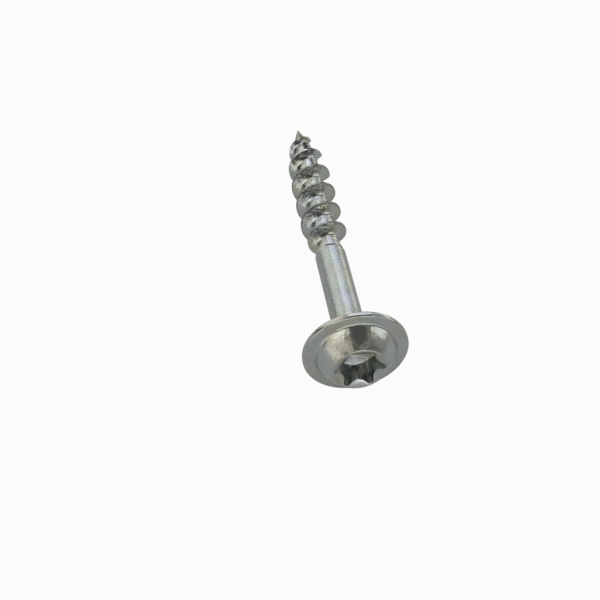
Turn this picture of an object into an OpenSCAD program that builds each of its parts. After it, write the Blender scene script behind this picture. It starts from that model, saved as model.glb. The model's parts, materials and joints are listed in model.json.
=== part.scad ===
// Pocket hole screw: washer head, star drive, plain shank, coarse wood thread and a slotted cutting point.
// One cold-formed steel piece. It lies on its side, on the flange's rim and a thread crest near the point.
// X runs along the floor towards the point and Z is up. The origin is on the floor under the middle of the outline.

/* [Head] */
// Diameter of the washer flange, which enters the counterbore of a pocket hole
flange_d = 9.3; // [8.9:0.05:9.5]
// Thickness of the flange at its rim
flange_t = 0.6; // [0.5:0.05:0.9]
// Rounding of both edges of the rim
rim_r = 0.18; // [0.1:0.02:0.22]
// Height of the crown above the flange
crown_h = 1.85; // [1.7:0.05:2.3]
// Diameter of the crown where its side meets the flange
crown_base_d = 7.3; // [6.9:0.1:7.8]
// Diameter of the crown's flat top
crown_top_d = 4.8; // [4.75:0.05:5.1]
// Bow of the crown's side beyond a straight cone
crown_bow = 0.12; // [0.04:0.02:0.2]
// Rounding of the crown's top edge
crown_edge_r = 0.12; // [0.06:0.02:0.16]
// Fillet where the crown runs into the flange
crown_fillet = 0.3; // [0.15:0.05:0.4]

/* [Drive socket] */
// Star socket measured across the tips of its lobes
star_d = 4.5; // [4.2:0.05:4.55]
// Star socket measured across the ribs between its lobes
star_rib_d = 3.27; // [3.05:0.02:3.31]
// Radius of each lobe's tip
lobe_r = 0.36; // [0.3:0.02:0.42]
// Depth of the socket's straight walls below the crown's top
socket_depth = 2.0; // [1.8:0.05:2.2]
// Depth of the shallow cone in the socket's floor
socket_cone = 0.6; // [0.3:0.05:0.65]
// Width by which the entry cone is wider than the star
entry_w = 0.05; // [0.02:0.01:0.1]
// Depth of the entry cone at the star's ribs
entry_depth = 0.35; // [0.15:0.05:0.6]
// Turn of the socket about the screw's axis
socket_turn = 32; // [0:1:59]

/* [Shank] */
// Length from the underside of the flange to the tip
length = 32; // [30:0.5:34]
// Length of the plain shank below the flange
shank_l = 11.8; // [10:0.1:13]
// Diameter of the plain shank
shank_d = 2.9; // [2.7:0.05:3.1]
// Diameter of the neck just below the flange
neck_d = 3.3; // [3.15:0.05:3.5]
// Length over which the neck narrows to the shank
neck_l = 2.4; // [1.5:0.1:4]
// Fillet between the neck and the flange
neck_fillet = 0.4; // [0.2:0.05:0.6]
// Bevel of the step at the end of the plain shank
step_bevel = 0.12; // [0.06:0.02:0.2]
// Diameter of the low collar that rolling leaves ahead of the plain shank
collar_d = 2.68; // [2.64:0.02:2.8]

/* [Thread] */
// Diameter over the thread's crests
crest_d = 4.2; // [3.9:0.05:4.4]
// Diameter of the core between the turns
root_d = 2.4; // [2.2:0.05:2.5]
// Distance from one turn to the next
pitch = 2.95; // [2.7:0.05:3.2]
// Width of the blunt crest
crest_w = 0.22; // [0.14:0.02:0.3]
// Angle of each flank to a plane across the screw
flank = 30; // [22:1:34]
// Bare core between the end of the plain shank and the thread's start
thread_gap = 1.2; // [0.8:0.1:2.6]
// Turns over which the thread grows to its full height
run_in = 0.28; // [0.2:0.02:0.8]
// Angle round the screw at which the thread starts, from the side that faces the floor
start_turn = 40; // [0:1:359]
// Straight steps that make one turn of the thread
turn_steps = 30; // [24:2:36]

/* [Point] */
// Length over which the core tapers to the tip
point_l = 7; // [5.5:0.1:8]
// Length over which the crests fade towards the tip
fade_l = 11.5; // [9:0.5:13]
// Length of the bare tip ahead of the thread
bare_tip = 0.7; // [0.4:0.1:1.2]
// Length over which the thread grows out of the bare tip
run_out = 0.9; // [0.5:0.1:1.5]
// Radius left at the tip
tip_r = 0.06; // [0.04:0.01:0.1]
// Length of the cutting slot from the tip to where its straight run ends
slot_l = 6.2; // [4:0.1:7]
// Distance of the slot's corner from the axis, at the tip
slot_offset = 0.08; // [0:0.02:0.1]
// Slope of the slot's corner away from the axis
slot_slope = 2.5; // [0:0.5:5]
// Radius of the wheel that cuts the slot's run-out
slot_wheel_r = 3.2; // [2:0.1:6]
// Direction of the slot round the screw, from the side that faces the floor
slot_turn = 305; // [0:1:359]

/* [Hidden] */
$fn = 64;
steel = [0.72, 0.73, 0.74];

flange_r = flange_d / 2;
shank_r = shank_d / 2;
crest_r = crest_d / 2;
root_r = root_d / 2;
head_top = -flange_t - crown_h;
cut_past = 1;               // how far a cutting shape runs past what it cuts

// The root fillets take this share of the thread's height and lean this far from a plane across the screw.
// Flanks and fillets keep a least width, so that the thread stays whole where it has no height
toe_share = 0.2;
toe_angle = 52;
least_w = 0.02;
thread_start = shank_l + step_bevel + thread_gap;
core_start = shank_l - 0.4;
lead_turns = ceil((thread_start - core_start) / pitch) + 1;

function unit(v) = v / norm(v);

// The arc that rounds corner q between the points p and s
function rounded(p, q, s, r, n = 5) =
    let (a = unit(p - q), b = unit(s - q), half = acos(a * b) / 2,
         c = q + unit(a + b) * r / sin(half),
         t0 = q + a * r / tan(half) - c, t1 = q + b * r / tan(half) - c,
         a0 = atan2(t0.y, t0.x), turn = atan2(t0.x * t1.y - t0.y * t1.x, t0 * t1))
    [for (i = [0:n]) c + r * [cos(a0 + turn * i / n), sin(a0 + turn * i / n)]];

// An outline from its corners, each given as [radius from the axis, distance along it, rounding]
function outline(k) = [
    for (i = [0:len(k) - 1])
        let (q = [k[i][0], k[i][1]])
        if (k[i][2] == 0) q
        else each rounded([k[i - 1][0], k[i - 1][1]], q, [k[i + 1][0], k[i + 1][1]], k[i][2])
];

// Share of the full radius left at the distance x along the screw, where it fades over the span before the tip
function taper(x, span, power) = 1 - pow(max(0, min(1, (x - length + span) / span)), power);
core_power = 2.2;
crest_power = 3.1;
function core_at(x) = max(tip_r, root_r * taper(x, point_l, core_power));
function height_at(x) =
    let (grow = max(0, min(1, (x - thread_start) / (pitch * run_in), (length - bare_tip - x) / run_out)),
         full = crest_r * taper(x, fade_l, crest_power) - core_at(x))
    max(0, full * sin(90 * grow));

// The screw lies on the rounded rim and on one crest that faces the floor: the one that it leans least to reach
first_low = thread_start + pitch * (360 - start_turn) / 360;
function lean(x) =
    let (drop = flange_r - rim_r - core_at(x) - height_at(x), run = x + crest_w / 2 + rim_r)
    acos(-rim_r / norm([drop, run])) - atan2(run, drop);
lie_angle = min([for (x = [first_low:pitch:length]) lean(x)]);
lie_height = rim_r + (flange_r - rim_r) * cos(lie_angle) - rim_r * sin(lie_angle);
back_x = (head_top + crown_edge_r) * cos(lie_angle) - (crown_top_d / 2) * sin(lie_angle) - crown_edge_r;
front_x = length * cos(lie_angle);

// Points from p to q that bow out to the left of the way from p to q, [across, along] as in an outline
function bowed(p, q, bow, n = 8) =
    let (way = q - p, out = unit([way.y, -way.x]))
    [for (i = [0:n]) p + way * i / n + out * bow * 4 * i * (n - i) / pow(n, 2)];

// Head, neck, plain shank and the collar ahead of it as one turned body. Its axis is Z, and the flange's
// underside is at 0
module turned_body() {
    step_end = shank_l + step_bevel;
    groove_r = root_r + 0.06;
    side = bowed([crown_top_d / 2, head_top], [crown_base_d / 2, -flange_t], crown_bow);
    rotate_extrude() polygon(outline([
        [0, step_end + 0.6, 0],
        [0, head_top, 0],
        [crown_top_d / 2, head_top, crown_edge_r],
        for (i = [1:len(side) - 2]) [side[i].x, side[i].y, 0],
        [crown_base_d / 2, -flange_t, crown_fillet],
        [flange_r, -flange_t, rim_r],
        [flange_r, 0, rim_r],
        [neck_d / 2, 0, neck_fillet],
        [shank_r, neck_l, 0],
        [shank_r, shank_l, 0],
        [shank_r - step_bevel, step_end, 0],
        [groove_r, step_end + 0.1, 0],
        [collar_d / 2, step_end + 0.2, 0],
        [collar_d / 2, step_end + 0.5, 0],
        [root_r + 0.04, step_end + 0.6, 0]
    ]));
}

// Corners of the thread's profile across one pitch: the middle of the root, then the back flank, the crest and the
// front flank. Corner p, with the crest's centre line at x, as [distance along the screw, radius]
profile_points = 7;
function thread_point(x, p) =
    let (side = p < 4 ? -1 : 1, corner = side < 0 ? p : 7 - p, h = height_at(x), toe = toe_share * h,
         shoulder = crest_w / 2 + (h - toe) * tan(flank) + least_w,
         foot = shoulder + toe * tan(toe_angle) + least_w,
         z = x + side * [pitch / 2, foot, shoulder, crest_w / 2][corner])
    [z, core_at(z) + [0, 0, toe, h][corner]];

// Threaded core: one closed skin whose rows follow the right-hand helix, so that each turn ends where the next
// starts. It begins at a point inside the plain shank and ends at the tip
module threaded_core() {
    rows = profile_points * (lead_turns + ceil((length - thread_start) / pitch) + 1);
    back = rows * turn_steps;
    front = back + 1;
    function profile(i, k) =
        let (turn = floor(k / profile_points),
             x = thread_start + pitch * (i / turn_steps + turn - lead_turns))
        thread_point(x, k - turn * profile_points);
    function vertex(i, k) =
        let (q = profile(i, k), a = start_turn + 360 * i / turn_steps)
        [q[1] * cos(a), q[1] * sin(a), q[0]];
    function id(i, k) =
        i == turn_steps ? id(0, k + profile_points)
        : let (z = k < rows ? profile(i, k)[0] : length)
          z < core_start ? back : z > length - tip_r ? front : i * rows + k;
    points = [for (i = [0:turn_steps - 1], k = [0:rows - 1]) vertex(i, k)];
    skin = [for (i = [0:turn_steps - 1], k = [0:rows - 2])
        let (p = id(i, k), q = id(i + 1, k), s = id(i + 1, k + 1), t = id(i, k + 1))
        each [[p, s, q], [p, t, s]]];
    polyhedron(concat(points, [[0, 0, core_start], [0, 0, length]]),
        [for (f = skin) if (f[0] != f[1] && f[1] != f[2] && f[2] != f[0]) f]);
}

// Outline of the star: lobes at every 60 degrees, joined by ribs whose arcs meet them smoothly
module star() {
    lobe_c = star_d / 2 - lobe_r;
    rib_half = star_rib_d / 2;
    rib_r = (pow(lobe_r, 2) - pow(lobe_c, 2) - pow(rib_half, 2) + 2 * lobe_c * rib_half * cos(30))
          / (2 * (rib_half - lobe_c * cos(30) - lobe_r));
    rib_c = rib_half + rib_r;
    meet = atan2(rib_c * sin(30), rib_c * cos(30) - lobe_c);
    steps = 6;
    polygon([for (i = [0:5]) each concat(
        [for (k = [0:steps]) let (a = 60 * i + meet * (2 * k / steps - 1))
            lobe_c * [cos(60 * i), sin(60 * i)] + lobe_r * [cos(a), sin(a)]],
        [for (k = [1:steps - 1]) let (a = 60 * i + 210 + (meet - 30) * (1 - 2 * k / steps))
            rib_c * [cos(60 * i + 30), sin(60 * i + 30)] + rib_r * [cos(a), sin(a)]])]);
}

// The socket as a solid to take away: the star down to its floor, the cone of that floor and the entry cone
module drive_socket() {
    floor_z = head_top + socket_depth;
    rib_half = star_rib_d / 2;
    clear = 0.05;               // both cones end this far inside the ribs
    centre_r = 0.05;            // the floor cone's blunt centre
    entry_top_r = star_d / 2 + entry_w;
    slope = (entry_top_r - rib_half) / entry_depth;
    rotate(socket_turn) translate([0, 0, head_top - cut_past]) linear_extrude(socket_depth + cut_past) star();
    translate([0, 0, floor_z]) rotate_extrude()
        polygon([[0, -cut_past / 2], [rib_half - clear, -cut_past / 2], [rib_half - clear, 0],
                 [centre_r, socket_cone], [0, socket_cone]]);
    translate([0, 0, head_top - cut_past])
        cylinder(h = cut_past + entry_depth + clear / slope,
                 r1 = entry_top_r + cut_past * slope, r2 = rib_half - clear);
}

// The V-shaped slot of the cutting point: a straight run from the tip, then the arc of the cutting wheel
module cutting_slot() {
    reach = 4;
    start_r = slot_offset + slot_l * tan(slot_slope);
    rotate(slot_turn) {
        // straight run, a square corner that opens away from the axis
        translate([slot_offset, 0, length]) rotate([0, slot_slope, 0])
            translate([0, 0, -slot_l / cos(slot_slope)]) linear_extrude(slot_l / cos(slot_slope) + cut_past)
                polygon([[0, 0], [reach, -reach], [reach, reach]]);
        // run-out, the rim of a wheel with the same square edge
        translate([start_r, 0, length - slot_l]) rotate([0, slot_slope, 0]) translate([slot_wheel_r, 0, 0])
            rotate([90, 0, 0]) rotate_extrude()
                polygon([[0, -slot_wheel_r], [slot_wheel_r, 0], [0, slot_wheel_r]]);
    }
}

module screw() {
    middle = (back_x + front_x) / 2;
    color(steel)
    translate([-middle, 0, lie_height]) rotate([0, 90 + lie_angle, 0]) difference() {
        union() {
            turned_body();
            threaded_core();
        }
        drive_socket();
        cutting_slot();
    }
}

screw();
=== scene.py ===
"""The look of a pocket hole screw that lies on a white table: one piece of steel wire, headed, thread-rolled
and zinc plated."""

import json
import math

import bmesh
import bpy
from mathutils import Matrix, Vector


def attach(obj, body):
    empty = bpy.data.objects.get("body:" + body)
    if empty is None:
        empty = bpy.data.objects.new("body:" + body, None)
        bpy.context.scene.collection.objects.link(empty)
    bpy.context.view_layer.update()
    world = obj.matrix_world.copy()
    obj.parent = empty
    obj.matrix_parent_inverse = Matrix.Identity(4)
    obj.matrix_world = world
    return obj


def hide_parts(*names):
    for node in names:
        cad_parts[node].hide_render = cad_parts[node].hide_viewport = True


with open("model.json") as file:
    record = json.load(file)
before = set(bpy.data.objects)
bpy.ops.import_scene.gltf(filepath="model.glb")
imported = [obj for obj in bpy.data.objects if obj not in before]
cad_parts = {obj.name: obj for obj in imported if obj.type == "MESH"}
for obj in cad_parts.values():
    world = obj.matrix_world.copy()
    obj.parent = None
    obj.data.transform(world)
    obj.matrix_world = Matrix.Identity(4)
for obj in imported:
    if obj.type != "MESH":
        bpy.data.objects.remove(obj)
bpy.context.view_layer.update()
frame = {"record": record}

# The camera stands behind the head and looks down along the screw, so that the head is nearest and the point
# runs away towards the top of the picture. It is a plain 60 mm lens with everything in focus.
mm = 0.001
camera_place = Vector((-63.45, 12.50, 74.72)) * mm
camera_heading = -8.98                      # degrees from +X towards +Y
camera_dip = 51.60                          # degrees below the horizon
camera = bpy.data.objects.new("camera", bpy.data.cameras.new("camera"))
camera.data.lens = 60
camera.data.sensor_width = 36
camera.data.clip_start = 5 * mm
camera.location = camera_place
camera.rotation_euler = (math.radians(90 - camera_dip), 0, math.radians(camera_heading - 90))
bpy.context.collection.objects.link(camera)
bpy.context.scene.camera = camera

# The screw is shaped in its own axes: Z runs from the flange's underside to the tip, and X points at the
# table. The record's mounts give where Z lies. Sizes are in millimetres until the finished mesh is placed.
flange_t, crown_h = 0.6, 1.85
head_top = -(flange_t + crown_h)
mounts = {mount["name"]: mount for mount in frame["record"]["mounts"]}
axis = Vector(mounts["bearing_face"]["axis"]).normalized()
sideways = Vector((0, 1, 0))
under_flange = Vector(mounts["drive_socket"]["pos_m"]) - axis * head_top * mm
place = Matrix.Translation(under_flange)
place @= Matrix((sideways.cross(axis), sideways, axis)).transposed().to_4x4()
place @= Matrix.Scale(mm, 4)

# Head, neck and plain shank: the steel wire is upset into a crown and a washer flange, whose edges the dies
# round. The neck runs out of the flange and narrows to the shank. Past the shank's end, the rolling of the
# thread leaves a groove and a low collar.
flange_r, rim_r = 4.65, 0.18
crown_base_r, crown_top_r, crown_bow = 3.65, 2.4, 0.12
crown_edge_r, crown_fillet_r = 0.12, 0.3
crown_edge_cut, crown_fillet_cut = 0.5, 0.6             # the bevel's width for each radius of 1
neck_r, neck_l, neck_fillet_r = 1.65, 2.4, 0.4
shank_r, shank_l, step_bevel = 1.45, 11.8, 0.12
root_r, collar_r = 1.2, 1.34
groove_r, collar_foot_r = root_r + 0.06, root_r + 0.04
groove_end, collar_start, collar_end, blank_end = 0.1, 0.2, 0.5, 0.6    # measured from the shank's end
crown_steps, neck_steps, turn_faces, round_faces = 10, 16, 160, 6
weld, near = 1e-5, 1e-4


def smooth(t):
    """A step from 0 to 1 that starts and ends level."""
    t = min(1, max(0, t))
    return t * t * (3 - 2 * t)


def spun(outline):
    """A body turned from its outline, whose points are (radius, distance along the axis)."""
    bm = bmesh.new()
    points = [bm.verts.new((r, 0, z)) for r, z in outline]
    lines = [bm.edges.new(pair) for pair in zip(points, points[1:])]
    bmesh.ops.spin(bm, geom=points + lines, cent=(0, 0, 0), axis=(0, 0, 1), dvec=(0, 0, 0), angle=math.tau,
                   steps=turn_faces, use_merge=True, use_normal_flip=False, use_duplicate=False)
    bmesh.ops.remove_doubles(bm, verts=bm.verts, dist=weld)
    bmesh.ops.recalc_face_normals(bm, faces=bm.faces)
    return bm


def round_ring(bm, radius, along, width):
    """Rounds the ring edge at this radius and place along the axis."""
    ring = [e for e in bm.edges if all(abs(math.hypot(v.co.x, v.co.y) - radius) < near
                                       and abs(v.co.z - along) < near for v in e.verts)]
    bmesh.ops.bevel(bm, geom=ring, offset=width, offset_type="OFFSET", segments=round_faces, profile=0.5,
                    affect="EDGES", material=-1, clamp_overlap=False)


def made_object(name, bm):
    """An object in the scene from a mesh under work."""
    made = bpy.data.objects.new(name, bpy.data.meshes.new(name))
    bm.to_mesh(made.data)
    bm.free()
    bpy.context.collection.objects.link(made)
    return made


def join_or_cut(body, tool, operation):
    """Joins the tool's solid to the body or cuts it away, and removes the tool."""
    change = body.modifiers.new(tool.name, "BOOLEAN")
    change.object, change.operation, change.solver = tool, operation, "EXACT"
    bpy.context.view_layer.update()
    shaped = bpy.data.meshes.new_from_object(body.evaluated_get(bpy.context.evaluated_depsgraph_get()))
    body.modifiers.clear()
    body.data = shaped
    bpy.data.objects.remove(tool)


crown_run = Vector((crown_base_r - crown_top_r, crown_h))
crown_out = Vector((crown_run.y, -crown_run.x)).normalized() * crown_bow
crown_side = [tuple(Vector((crown_top_r, head_top)) + crown_run * t + crown_out * 4 * t * (1 - t))
              for t in (k / crown_steps for k in range(crown_steps + 1))]
flange_side = [(flange_r, -flange_t), (flange_r, 0)]
neck = [(neck_r + (shank_r - neck_r) * smooth(k / neck_steps), neck_l * k / neck_steps)
        for k in range(neck_steps + 1)]
shank_end = shank_l + step_bevel
shank_step = [(shank_r, shank_l), (shank_r - step_bevel, shank_end), (groove_r, shank_end + groove_end)]
collar = [(collar_r, shank_end + collar_start), (collar_r, shank_end + collar_end),
          (collar_foot_r, shank_end + blank_end), (0, shank_end + blank_end)]
blank = spun([(0, head_top)] + crown_side + flange_side + neck + shank_step + collar)
round_ring(blank, crown_top_r, head_top, crown_edge_r * crown_edge_cut)
round_ring(blank, crown_base_r, -flange_t, crown_fillet_r * crown_fillet_cut)
round_ring(blank, flange_r, -flange_t, rim_r)
round_ring(blank, flange_r, 0, rim_r)
round_ring(blank, neck_r, 0, neck_fillet_r)
screw = made_object("pocket_screw", blank)

# The coarse thread is rolled into the blank: a right-hand helix with blunt crests, sloping flanks and a toe,
# the wide fillet at its root. Core and crests taper together to the tip.
length, crest_r, pitch = 32.0, 2.1, 2.95
crest_w, flank_angle, least_w = 0.22, 30, 0.02
toe_share, toe_angle = 0.45, 56
crest_corner, toe_corner, foot_corner = 0.15, 0.35, 0.8     # places in the profile, from crest 0 to valley 1
thread_gap, start_turn, run_in = 1.2, 40, 0.28
core_overlap = 0.4
point_l, core_power, tip_r = 7, 2.2, 0.06
fade_l, crest_power, bare_tip, run_out = 11.5, 3.1, 0.7, 0.9
thread_start = shank_end + thread_gap
core_start = shank_l - core_overlap
side_steps, thread_steps = 20, 96


def taper(x, span, power):
    """Share of the full radius left at the distance x along the screw, where it fades over this span."""
    return 1 - min(1, max(0, (x - (length - span)) / span)) ** power


def core_at(x):
    """The core's radius at the distance x along the screw."""
    return max(tip_r, root_r * taper(x, point_l, core_power))


def height_at(x):
    """The thread's height above the core, which grows in at its start and runs out before the tip."""
    grown = min(1, max(0, min((x - thread_start) / (pitch * run_in), (length - bare_tip - x) / run_out)))
    return max(0, (crest_r * taper(x, fade_l, crest_power) - core_at(x)) * math.sin(math.pi / 2 * grown))


def thread_point(x, share):
    """A point of the profile whose crest has its middle at x. The share runs from -1 to 1 over one pitch."""
    h = height_at(x)
    toe = toe_share * h
    shoulder = crest_w / 2 + (h - toe) * math.tan(math.radians(flank_angle)) + least_w
    foot = shoulder + toe * math.tan(math.radians(toe_angle)) + least_w
    corners = ((0, 0, h), (crest_corner, crest_w / 2, h), (toe_corner, shoulder, toe), (foot_corner, foot, 0),
               (1, pitch / 2, 0))
    side = math.copysign(1, share)
    for (s0, w0, h0), (s1, w1, h1) in zip(corners, corners[1:]):
        if abs(share) <= s1 + near:
            t = (abs(share) - s0) / (s1 - s0)
            z = x + side * (w0 + (w1 - w0) * t)
            drop = t * (2 - t) if s0 == toe_corner else t
            return z, core_at(z) + h0 + (h1 - h0) * drop


shares = [k / side_steps for k in range(-side_steps, side_steps + 1)]
lead_turns = math.ceil((thread_start - core_start) / pitch) + 1
turns = lead_turns + math.ceil((length - thread_start) / pitch) + 1
first_x = thread_start - lead_turns * pitch
thread = bmesh.new()
station = thread.verts.layers.int.new("station")
points = [thread.verts.new((crest_r, 0, share)) for share in shares]
for number, point in enumerate(points):
    point[station] = number
lines = [thread.edges.new(pair) for pair in zip(points, points[1:])]
bmesh.ops.spin(thread, geom=points + lines, cent=(0, 0, 0), axis=(0, 0, 1), dvec=(0, 0, pitch / thread_steps),
               angle=math.tau * turns, steps=thread_steps * turns, use_merge=False, use_normal_flip=False,
               use_duplicate=False)
for point in thread.verts:
    share = shares[point[station]]
    z, r = thread_point(first_x + point.co.z - share, share)
    around = math.atan2(point.co.y, point.co.x) + math.radians(start_turn)
    if z < core_start or z > length - tip_r:
        z, r = (core_start, 0) if z < core_start else (length, 0)
    point.co = (r * math.cos(around), r * math.sin(around), z)
bmesh.ops.remove_doubles(thread, verts=thread.verts, dist=near)
bmesh.ops.recalc_face_normals(thread, faces=thread.faces)
join_or_cut(screw, made_object("thread", thread), "UNION")

# The point's slot is sawn after rolling: a square corner that almost reaches the axis and runs out in the
# saw's own arc. It leaves one flat face that cuts the wood and one that clears the chips.
slot_l, slot_offset, slot_slope, slot_turn = 6.2, 0.08, 2.5, 305
slot_wheel_r, slot_reach = 3.2, 4
clear = 1                                   # how far a cutting tool stands out of the steel
slot_tilt = Matrix.Rotation(math.radians(slot_turn), 4, "Z") @ Matrix.Translation((slot_offset, 0, length))
slot_tilt @= Matrix.Rotation(math.radians(slot_slope), 4, "Y")
depth = slot_l / math.cos(math.radians(slot_slope)) + clear
wedge = bmesh.new()
corners = ((0, 0), (slot_reach, -slot_reach), (slot_reach, slot_reach))
top_face = wedge.faces.new([wedge.verts.new((x, y, clear)) for x, y in corners])
pushed = bmesh.ops.extrude_face_region(wedge, geom=[top_face], use_keep_orig=True)["geom"]
deep_points = [v for v in pushed if isinstance(v, bmesh.types.BMVert)]
bmesh.ops.translate(wedge, verts=deep_points, vec=(0, 0, -depth))
bmesh.ops.recalc_face_normals(wedge, faces=wedge.faces)
wedge.transform(slot_tilt)
join_or_cut(screw, made_object("slot_wedge", wedge), "DIFFERENCE")
wheel = spun([(0, -slot_wheel_r), (slot_wheel_r, 0), (0, slot_wheel_r)])
wheel_place = Matrix.Translation((slot_wheel_r, 0, clear - depth)) @ Matrix.Rotation(math.pi / 2, 4, "X")
wheel.transform(slot_tilt @ wheel_place)
join_or_cut(screw, made_object("slot_wheel", wheel), "DIFFERENCE")

# The drive socket is punched while the crown is headed: a six-lobe star with straight walls, a dished floor
# and a shallow cone at its mouth that leads the bit in.
star_r, rib_r, lobe_r = 2.25, 1.635, 0.36
socket_depth, socket_cone, socket_turn = 2.0, 0.6, 32
entry_w, entry_depth = 0.05, 0.35
rib_gap, dish_tip_r = 0.05, 0.05            # the round tools end this far inside the ribs
star_faces = 144
lobe_c = star_r - lobe_r
cos30 = math.cos(math.radians(30))
arc_r = lobe_r ** 2 - lobe_c ** 2 - rib_r ** 2 + 2 * lobe_c * rib_r * cos30
arc_r /= 2 * (rib_r - lobe_c * cos30 - lobe_r)
arc_c = rib_r + arc_r
meet_share = lobe_r / (lobe_r + arc_r)
meet = math.degrees(math.atan2(arc_c / 2 * meet_share, lobe_c + (arc_c * cos30 - lobe_c) * meet_share))


def star_radius(angle):
    """The star's radius at an angle in degrees from a lobe."""
    off = abs((angle + 30) % 60 - 30)
    a = math.radians(off)
    b = math.radians(30 - off)
    if off < meet:
        return lobe_c * math.cos(a) + math.sqrt(lobe_r ** 2 - (lobe_c * math.sin(a)) ** 2)
    return arc_c * math.cos(b) - math.sqrt(arc_r ** 2 - (arc_c * math.sin(b)) ** 2)


star = bmesh.new()
bmesh.ops.create_circle(star, cap_ends=True, segments=star_faces, radius=1)
for point in star.verts:
    angle = math.degrees(math.atan2(point.co.y, point.co.x))
    point.co = point.co.normalized() * star_radius(angle - socket_turn) + Vector((0, 0, head_top - clear))
pushed = bmesh.ops.extrude_face_region(star, geom=star.faces[:], use_keep_orig=True)["geom"]
floor_points = [v for v in pushed if isinstance(v, bmesh.types.BMVert)]
bmesh.ops.translate(star, verts=floor_points, vec=(0, 0, clear + socket_depth))
bmesh.ops.recalc_face_normals(star, faces=star.faces)
join_or_cut(screw, made_object("star", star), "DIFFERENCE")
floor_r = rib_r - rib_gap
socket_floor = head_top + socket_depth
dish = spun([(0, head_top - clear), (floor_r, head_top - clear), (floor_r, socket_floor),
             (dish_tip_r, socket_floor + socket_cone), (0, socket_floor + socket_cone)])
join_or_cut(screw, made_object("dish", dish), "DIFFERENCE")
entry_slope = (star_r + entry_w - rib_r) / entry_depth
mouth_floor = head_top + entry_depth + rib_gap / entry_slope
mouth = spun([(0, head_top - clear), (star_r + entry_w + entry_slope * clear, head_top - clear),
              (floor_r, mouth_floor), (0, mouth_floor)])
join_or_cut(screw, made_object("mouth", mouth), "DIFFERENCE")

# The finished screw takes its place on the table and stands for the one solid of the model. Edges that turn
# by more than this angle stay sharp.
sharp_edge = 32
screw.data.transform(place)
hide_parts("screw")
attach(screw, "root")
screw.data.polygons.foreach_set("use_smooth", [True] * len(screw.data.polygons))
screw.data.set_sharp_from_angle(angle=math.radians(sharp_edge))

# Bright zinc plating, a few thousandths of a millimetre thick, covers the whole screw and follows the steel
# under it: drawing lines run along the shank, rolling lines run up the thread's flanks, and the crown is
# hammered.
green_zinc, blue_zinc = (0.52, 0.58, 0.55, 1), (0.53, 0.55, 0.60, 1)
head_zinc, yellow_zinc = (0.535, 0.56, 0.58, 1), (0.60, 0.59, 0.50, 1)
# the last colour is painted shade: the near-black that darkens the thread's crests into a dark line
dull_zinc, crest_painted_shade = (0.33, 0.345, 0.325, 1), (0.12, 0.12, 0.11, 1)


class Value:
    """A number that a shader socket carries. Arithmetic on it adds Math nodes."""

    def __init__(self, finish, socket):
        self.finish, self.socket = finish, socket

    def math(self, operation, a, b):
        return self.finish.node("ShaderNodeMath", {"operation": operation}, {0: a, 1: b})

    def __add__(self, other):
        return self.math("ADD", self, other)

    def __sub__(self, other):
        return self.math("SUBTRACT", self, other)

    def __rsub__(self, other):
        return self.math("SUBTRACT", other, self)

    def __mul__(self, other):
        return self.math("MULTIPLY", self, other)

    def __truediv__(self, other):
        return self.math("DIVIDE", self, other)

    def __pow__(self, other):
        return self.math("POWER", self, other)

    __radd__, __rmul__ = __add__, __mul__


class Finish:
    """A material or a world that is put together node by node."""

    def __init__(self, owner):
        owner.use_nodes = True
        self.owner, self.tree = owner, owner.node_tree
        self.tree.nodes.clear()

    def node(self, kind, settings, sockets, output=0):
        """A node of this kind, with its settings first and then the values or links of its sockets."""
        made = self.tree.nodes.new(kind)
        for name, setting in settings.items():
            setattr(made, name, setting)
        for name, value in sockets.items():
            if isinstance(value, Value):
                self.tree.links.new(value.socket, made.inputs[name])
            else:
                made.inputs[name].default_value = value
        if made.outputs:
            return Value(self, made.outputs[output])

    def step(self, value, start, end):
        """0 where the value is at start, 1 where it is at end, and smooth between."""
        return self.node("ShaderNodeMapRange", {"interpolation_type": "SMOOTHSTEP"},
                         {"Value": value, "From Min": start, "From Max": end})

    def noise(self, vector, scale, detail=2.0, roughness=0.5):
        """Cloudy noise with this many lumps to a millimetre, from about -1 to 1."""
        cloud = self.node("ShaderNodeTexNoise", {},
                          {"Vector": vector, "Scale": scale, "Detail": detail, "Roughness": roughness})
        return cloud * 2 - 1

    def blend(self, share, a, b):
        """Colour a where share is 0 and colour b where it is 1."""
        return self.node("ShaderNodeMix", {"data_type": "RGBA"}, {0: share, 6: a, 7: b}, output=2)


zinc = Finish(bpy.data.materials.new("zinc"))
on_model = zinc.node("ShaderNodeTexCoord", {}, {}, output="Object")
spot = zinc.node("ShaderNodeMapping", {"vector_type": "TEXTURE"},
                 {"Vector": on_model, "Location": place.to_translation(), "Rotation": place.to_euler(),
                  "Scale": (mm, mm, mm)})
across_x, across_y, along = (zinc.node("ShaderNodeSeparateXYZ", {}, {0: spot}, output=k) for k in range(3))
radius = (across_x * across_x + across_y * across_y) ** 0.5

# where each part of the screw is, as shares from 0 to 1 that change over 0.1 to 2 mm
on_head = zinc.step(along, 0.3, -0.1)
on_crown = on_head * zinc.step(radius, crown_base_r + 0.3, crown_base_r)
on_flange = (on_head - on_crown) * zinc.step(radius, flange_r - 0.16, flange_r - 0.34)
on_thread = zinc.step(along, thread_start - 0.6, thread_start + 0.2)
on_crest = on_thread * zinc.step(radius, crest_r - 0.14, crest_r - 0.02)
on_point = zinc.step(along, length - slot_l - 3, length - slot_l - 1)
on_shank = (1 - on_head) * (1 - on_thread)

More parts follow.
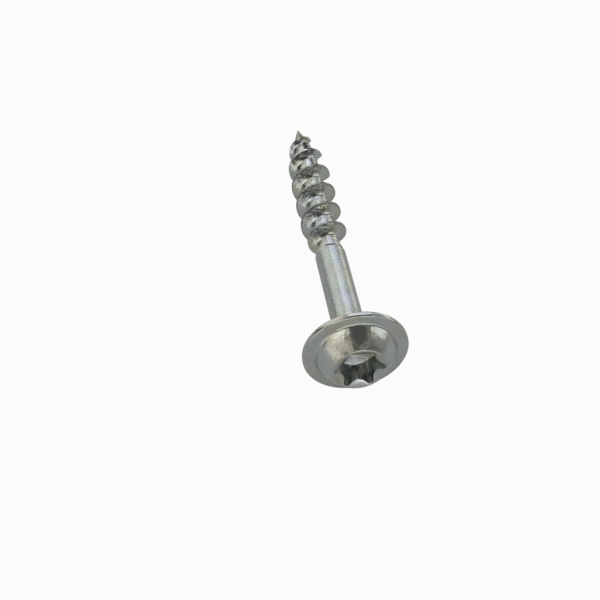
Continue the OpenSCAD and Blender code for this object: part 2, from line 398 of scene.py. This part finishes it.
# the marks on the plating: clouds first, then lines that are drawn out along the screw
film = zinc.noise(spot, 0.4, 1)
warmth = zinc.noise(spot, 0.27, 2)
mottle = zinc.noise(spot, 0.55, 4, 0.6)
grain = zinc.noise(spot, 4.5, 3, 0.55)
dents = zinc.noise(spot, 1.3, 1)
peel = zinc.noise(spot, 3.2, 1)
drawn = zinc.node("ShaderNodeCombineXYZ", {}, {0: across_x, 1: across_y, 2: along * 0.05})
draw_lines = zinc.noise(drawn, 3.4, 3, 0.6)
rolled = zinc.node("ShaderNodeCombineXYZ", {}, {0: across_x / radius, 1: across_y / radius, 2: along * 0.08})
roll_lines = zinc.noise(rolled, 9, 3, 0.6)
flow_lines = zinc.noise(rolled, 24, 2)

# the colour: a thin film that turns from greenish to bluish, is more neutral on the head and is yellowish in
# clouds, with dull patches and painted shade along the crests: a dark line that stands in for their dark
# outline
film_tone = zinc.blend(zinc.step(film, -0.3, 0.3), green_zinc, blue_zinc)
plain_tone = zinc.blend(on_head * 0.6, film_tone, head_zinc)
clean_tone = zinc.blend(zinc.step(warmth, -0.1, 0.4), plain_tone, yellow_zinc)
dull_share = zinc.step(mottle + grain * 0.8, -0.1, 0.9) * (0.75 - on_thread * 0.3)
dull_tone = zinc.blend(dull_share, clean_tone, dull_zinc)
# painted shade: the crests are darkened into a dark line that stands in for their dark outline
colour = zinc.blend(on_crest * 0.6, dull_tone, crest_painted_shade)

# the roughness: a plain value, what each place adds to it, and how far each mark moves it
plain_rough = 0.18
place_rough = on_crown * 0.07 + on_flange * 0.17 + on_shank * 0.09 - on_thread * 0.05
mark_rough = draw_lines * 0.03 + mottle * 0.06 + grain * 0.04
roughness = plain_rough + place_rough + mark_rough

# the relief: how far each mark rises and falls, in millimetres
plain_relief = peel * 0.0014 + grain * 0.0036 + mottle * 0.004
crown_relief = (dents * 0.022 + peel * 0.007 + roll_lines * 0.0075 + flow_lines * 0.004) * on_crown
shank_relief = (grain * 0.005 + draw_lines * 0.008) * on_shank
thread_relief = (grain * 0.011 + peel * 0.012 + roll_lines * 0.009) * on_thread * (1 - on_point * 0.75)
relief = plain_relief + crown_relief + shank_relief + thread_relief
bump = zinc.node("ShaderNodeBump", {}, {"Strength": 1.0, "Distance": mm, "Height": relief})
plating = zinc.node("ShaderNodeBsdfPrincipled", {},
                    {"Base Color": colour, "Metallic": 1.0, "Roughness": roughness, "Normal": bump})
zinc.node("ShaderNodeOutputMaterial", {}, {"Surface": plating})
screw.data.materials.clear()
screw.data.materials.append(zinc.owner)

# The table is a sheet of matt white paper. To the camera it is white and keeps the screw's shadow faint.
# The plating mirrors it as the pale grey that it is in a room whose light comes from the sides.
table_reach = 3                             # metres from its middle to each side
white_seen, white_mirrored = 0.95, 0.11     # shares of plain white, to the camera and to the plating
bm = bmesh.new()
bmesh.ops.create_grid(bm, x_segments=1, y_segments=1, size=table_reach)
table = made_object("table", bm)
paper = Finish(bpy.data.materials.new("paper"))
sheet = paper.node("ShaderNodeBsdfPrincipled", {},
                   {"Base Color": (0.7, 0.7, 0.7, 1), "Roughness": 1.0, "Specular IOR Level": 0.0})
white = paper.node("ShaderNodeEmission", {}, {"Strength": 1.0})
straight = paper.node("ShaderNodeLightPath", {}, {}, output="Is Camera Ray")
mirrored = paper.node("ShaderNodeLightPath", {}, {}, output="Is Glossy Ray")
through = paper.node("ShaderNodeLightPath", {}, {}, output="Is Transmission Ray")
white_share = straight * white_seen + (mirrored + through) * white_mirrored
seen = paper.node("ShaderNodeMixShader", {}, {0: white_share, 1: sheet, 2: white})
paper.node("ShaderNodeOutputMaterial", {}, {"Surface": seen})
table.data.materials.append(paper.owner)

# The room is dim, with soft panels round the table whose light the plating mirrors: white and cream ones at
# the sides, a low white one and smaller ones behind the head, and ahead of the point a cool window with
# tinted ones round it.
room_dim, room_white = (0.085, 0.083, 0.078, 1), (1, 1, 1, 1)
panel_away = 0.45                           # metres
room = Finish(bpy.data.worlds.new("room"))
dim = room.node("ShaderNodeBackground", {}, {"Color": room_dim, "Strength": 1.0})
bright = room.node("ShaderNodeBackground", {}, {"Color": room_white, "Strength": 1.0})
straight = room.node("ShaderNodeLightPath", {}, {}, output="Is Camera Ray")
sky = room.node("ShaderNodeMixShader", {}, {0: straight, 1: dim, 2: bright})
room.node("ShaderNodeOutputWorld", {}, {"Surface": sky})
bpy.context.scene.world = room.owner


def panel(name, heading, height, width, depth, light, tint):
    """A soft panel, by its heading, height and size in degrees, how bright it looks and its tint."""
    lamp = bpy.data.objects.new(name, bpy.data.lights.new(name, "AREA"))
    turn = math.radians(heading)
    towards = Vector((math.cos(turn), math.sin(turn), math.tan(math.radians(height)))).normalized()
    lamp.location = towards * panel_away
    lamp.rotation_euler = towards.to_track_quat("Z", "Y").to_euler()
    lamp.data.shape = "RECTANGLE"
    lamp.data.size = 2 * panel_away * math.tan(math.radians(width / 2))
    lamp.data.size_y = 2 * panel_away * math.tan(math.radians(depth / 2))
    lamp.data.energy = light * math.pi * lamp.data.size * lamp.data.size_y
    lamp.data.color = tint
    lamp.visible_camera = False
    bpy.context.collection.objects.link(lamp)


panel("left_white", 95, 53, 20, 48, 1.15, (1.0, 1.0, 0.95))
panel("left_soft", 127, 44, 44, 26, 0.62, (1.0, 0.99, 0.90))
panel("left_cream", 112, 12, 40, 30, 0.9, (1.0, 0.97, 0.84))
panel("right_white", -87, 30, 20, 46, 1.15, (1.0, 1.0, 0.88))
panel("right_dim", -110, 28, 20, 50, 0.24, (1.0, 0.99, 0.88))
panel("rear_left", 142, 13, 20, 14, 0.75, (1.0, 0.98, 0.88))
panel("rear_right", -140, 10, 18, 20, 0.65, (1.0, 0.98, 0.88))
panel("rear_low", -174, 12, 44, 24, 1.3, (1.0, 0.99, 0.96))
panel("rear_dim", -152, 44, 32, 10, 0.35, (1.0, 0.97, 0.88))
panel("ahead_cream", -50, 2, 28, 22, 1.3, (1.0, 0.98, 0.82))
panel("ahead_dim", -40, 23, 14, 18, 0.60, (0.90, 0.93, 1.0))
panel("ahead_olive", 23, 22, 52, 34, 0.83, (0.99, 1.0, 0.92))
panel("ahead_warm", 44, 52, 40, 30, 0.55, (1.0, 0.88, 0.80))
panel("window", -17, 47, 34, 44, 1.1, (0.90, 0.94, 1.0))
bpy.context.scene.view_settings.view_transform = "Standard"
